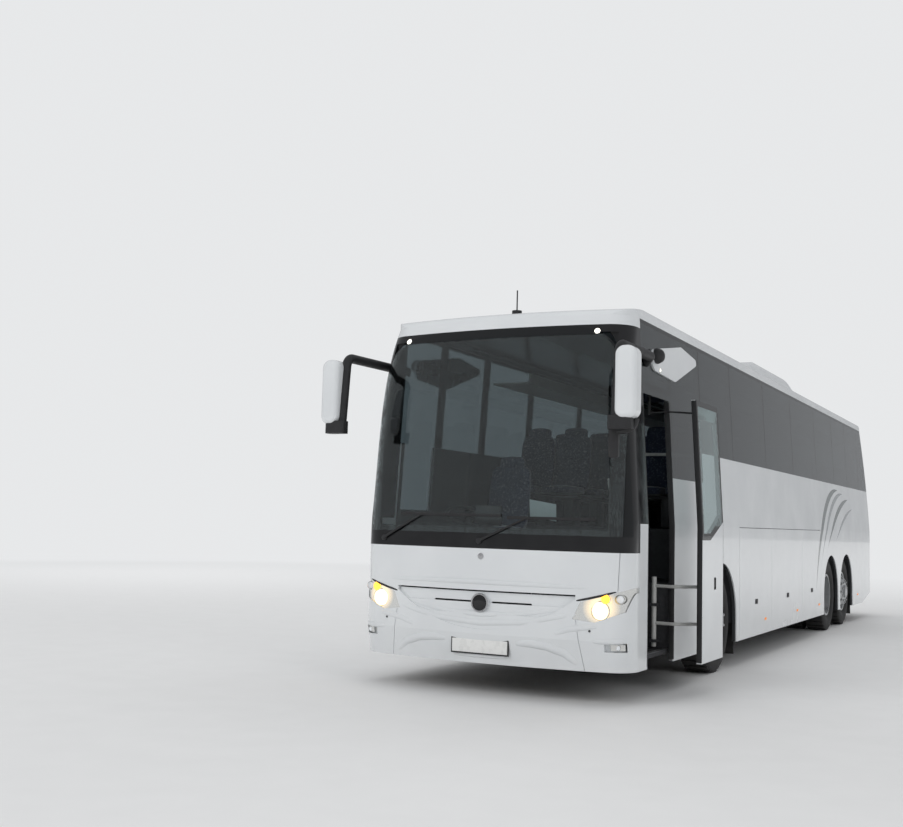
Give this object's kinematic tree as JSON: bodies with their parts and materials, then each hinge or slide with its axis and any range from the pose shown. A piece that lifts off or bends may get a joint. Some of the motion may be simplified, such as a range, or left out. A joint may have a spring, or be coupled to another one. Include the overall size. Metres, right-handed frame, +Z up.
{
  "type": "coach bus",
  "caption": "Three-axle touring coach with an open plug door, glazed sides, lift-up luggage flaps and wheels that steer and turn.",
  "frame": {"origin": "on the floor under the middle of the coach, halfway between the tail and the mirrors' tips", "axes": "+Z up, the nose faces -Y, the entrance door is on +X"},
  "size_m": [3.0356, 13.4651, 3.6398],
  "materials": {
    "white_paint": "gloss",
    "black_paint": "satin",
    "glass_dark": "clear",
    "glass_clear": "clear",
    "lamp_lens": "clear",
    "lamp_red": "gloss",
    "tyre_rubber": "matte",
    "rim_metal": "satin",
    "chassis_metal": "matte",
    "axle_metal": "matte",
    "black_plastic": "matte",
    "floor_lining": "matte",
    "seat_fabric": "matte",
    "arm_grey": "gloss",
    "rack_plastic": "satin",
    "steel": "satin"
  },
  "bodies": {
    "coach_body": {"chassis_frame": "chassis_metal", "luggage_bay": "floor_lining", "passenger_floor": "floor_lining", "entrance_steps": "floor_lining", "waist_panels": "white_paint", "lower_panels": "white_paint", "window_pillars": "black_paint", "door_header": "black_paint", "side_glass": "glass_dark", "rear_glass": "glass_dark", "roof_panel": "white_paint", "front_visor": "white_paint", "windscreen_frame": "black_paint", "windscreen": "glass_clear", "front_mask": "white_paint", "front_bumper": "white_paint", "grille": "white_paint", "headlamps": "lamp_lens", "rear_panel": "white_paint", "rear_lamps": "lamp_red", "engine_block": "axle_metal", "tow_eyes": "steel", "roof_unit": "white_paint", "antenna": "black_plastic", "mirror_shells": "white_paint", "mirror_arms": "black_plastic", "wipers": "black_plastic", "dashboard": "black_plastic", "steering_wheel": "black_plastic", "driver_seat": "seat_fabric", "passenger_seats": "seat_fabric", "luggage_racks": "rack_plastic", "front_axle": "axle_metal", "rear_axles": "axle_metal"},
    "knuckle_left": {"knuckle_left": "axle_metal"},
    "front_wheel_left": {"front_wheel_tyre_left": "tyre_rubber", "front_wheel_rim_left": "rim_metal"},
    "drive_wheel_left": {"drive_wheel_tyre_left": "tyre_rubber", "drive_wheel_rim_left": "rim_metal"},
    "tag_wheel_left": {"tag_wheel_tyre_left": "tyre_rubber", "tag_wheel_rim_left": "rim_metal"},
    "knuckle_right": {"knuckle_right": "axle_metal"},
    "front_wheel_right": {"front_wheel_tyre_right": "tyre_rubber", "front_wheel_rim_right": "rim_metal"},
    "drive_wheel_right": {"drive_wheel_tyre_right": "tyre_rubber", "drive_wheel_rim_right": "rim_metal"},
    "tag_wheel_right": {"tag_wheel_tyre_right": "tyre_rubber", "tag_wheel_rim_right": "rim_metal"},
    "track_rod": {"track_rod": "axle_metal"},
    "door_arm": {"door_arm": "arm_grey"},
    "door_upper_arm": {"door_upper_arm": "black_plastic"},
    "entrance_door": {"entrance_door": "white_paint", "door_glass": "glass_dark"},
    "luggage_flap_left_1": {"luggage_flap_left_1": "white_paint"},
    "luggage_flap_left_2": {"luggage_flap_left_2": "white_paint"},
    "luggage_flap_left_3": {"luggage_flap_left_3": "white_paint"},
    "luggage_flap_right_1": {"luggage_flap_right_1": "white_paint"},
    "luggage_flap_right_2": {"luggage_flap_right_2": "white_paint"},
    "luggage_flap_right_3": {"luggage_flap_right_3": "white_paint"},
    "engine_lid": {"engine_lid": "white_paint"}
  },
  "joints": [
    {"name": "steer_left", "type": "hinge", "parent": "coach_body", "child": "knuckle_left", "pos_m": [-0.925, -3.4125, 0.522], "axis": [0, 0, 1], "range_deg": [-40, 40]},
    {"name": "front_wheel_left_spin", "type": "hinge", "parent": "knuckle_left", "child": "front_wheel_left", "pos_m": [-1, -3.4125, 0.522], "axis": [1, 0, 0], "continuous": true},
    {"name": "drive_wheel_left_spin", "type": "hinge", "parent": "coach_body", "child": "drive_wheel_left", "pos_m": [-1, 2.7775, 0.522], "axis": [1, 0, 0], "continuous": true},
    {"name": "tag_wheel_left_spin", "type": "hinge", "parent": "coach_body", "child": "tag_wheel_left", "pos_m": [-1, 4.1175, 0.522], "axis": [1, 0, 0], "continuous": true},
    {"name": "steer_right", "type": "hinge", "parent": "coach_body", "child": "knuckle_right", "pos_m": [0.925, -3.4125, 0.522], "axis": [0, 0, 1], "range_deg": [-40, 40]},
    {"name": "front_wheel_right_spin", "type": "hinge", "parent": "knuckle_right", "child": "front_wheel_right", "pos_m": [1, -3.4125, 0.522], "axis": [1, 0, 0], "continuous": true},
    {"name": "drive_wheel_right_spin", "type": "hinge", "parent": "coach_body", "child": "drive_wheel_right", "pos_m": [1, 2.7775, 0.522], "axis": [1, 0, 0], "continuous": true},
    {"name": "tag_wheel_right_spin", "type": "hinge", "parent": "coach_body", "child": "tag_wheel_right", "pos_m": [1, 4.1175, 0.522], "axis": [1, 0, 0], "continuous": true},
    {"name": "track_rod_pin", "type": "hinge", "parent": "knuckle_left", "child": "track_rod", "pos_m": [-0.925, -3.2125, 0.396], "axis": [0, 0, 1], "range_deg": [-40, 40]},
    {"name": "door_arm_swing", "type": "hinge", "parent": "coach_body", "child": "door_arm", "pos_m": [1.1, -5.0725, 0.7], "axis": [0, 0, 1], "range_deg": [-101.4, 0]},
    {"name": "door_upper_arm_swing", "type": "hinge", "parent": "coach_body", "child": "door_upper_arm", "pos_m": [1.038, -5.0725, 2.5], "axis": [0, 0, 1], "range_deg": [-101.4, 0]},
    {"name": "door_carry", "type": "hinge", "parent": "door_arm", "child": "entrance_door", "pos_m": [1.49, -4.8925, 0.765], "axis": [0, 0, 1], "range_deg": [0, 101.4]},
    {"name": "luggage_flap_left_1_hinge", "type": "hinge", "parent": "coach_body", "child": "luggage_flap_left_1", "pos_m": [-1.275, -1.9275, 1.472], "axis": [0, 1, 0], "range_deg": [0, 80]},
    {"name": "luggage_flap_left_2_hinge", "type": "hinge", "parent": "coach_body", "child": "luggage_flap_left_2", "pos_m": [-1.275, -0.2625, 1.472], "axis": [0, 1, 0], "range_deg": [0, 80]},
    {"name": "luggage_flap_left_3_hinge", "type": "hinge", "parent": "coach_body", "child": "luggage_flap_left_3", "pos_m": [-1.275, 1.2875, 1.472], "axis": [0, 1, 0], "range_deg": [0, 80]},
    {"name": "luggage_flap_right_1_hinge", "type": "hinge", "parent": "coach_body", "child": "luggage_flap_right_1", "pos_m": [1.275, -1.9275, 1.472], "axis": [0, -1, 0], "range_deg": [0, 80]},
    {"name": "luggage_flap_right_2_hinge", "type": "hinge", "parent": "coach_body", "child": "luggage_flap_right_2", "pos_m": [1.275, -0.2625, 1.472], "axis": [0, -1, 0], "range_deg": [0, 80]},
    {"name": "luggage_flap_right_3_hinge", "type": "hinge", "parent": "coach_body", "child": "luggage_flap_right_3", "pos_m": [1.275, 1.2875, 1.472], "axis": [0, -1, 0], "range_deg": [0, 80]},
    {"name": "engine_lid_hinge", "type": "hinge", "parent": "coach_body", "child": "engine_lid", "pos_m": [0, 6.70846, 1.894], "axis": [1, 0, 0], "range_deg": [0, 75]}
  ],
  "couplings": [
    {"joint": "steer_right", "follows": "steer_left", "ratio": 1},
    {"joint": "track_rod_pin", "follows": "steer_left", "ratio": -1},
    {"joint": "door_upper_arm_swing", "follows": "door_arm_swing", "ratio": 1},
    {"joint": "door_carry", "follows": "door_arm_swing", "ratio": -1}
  ]
}
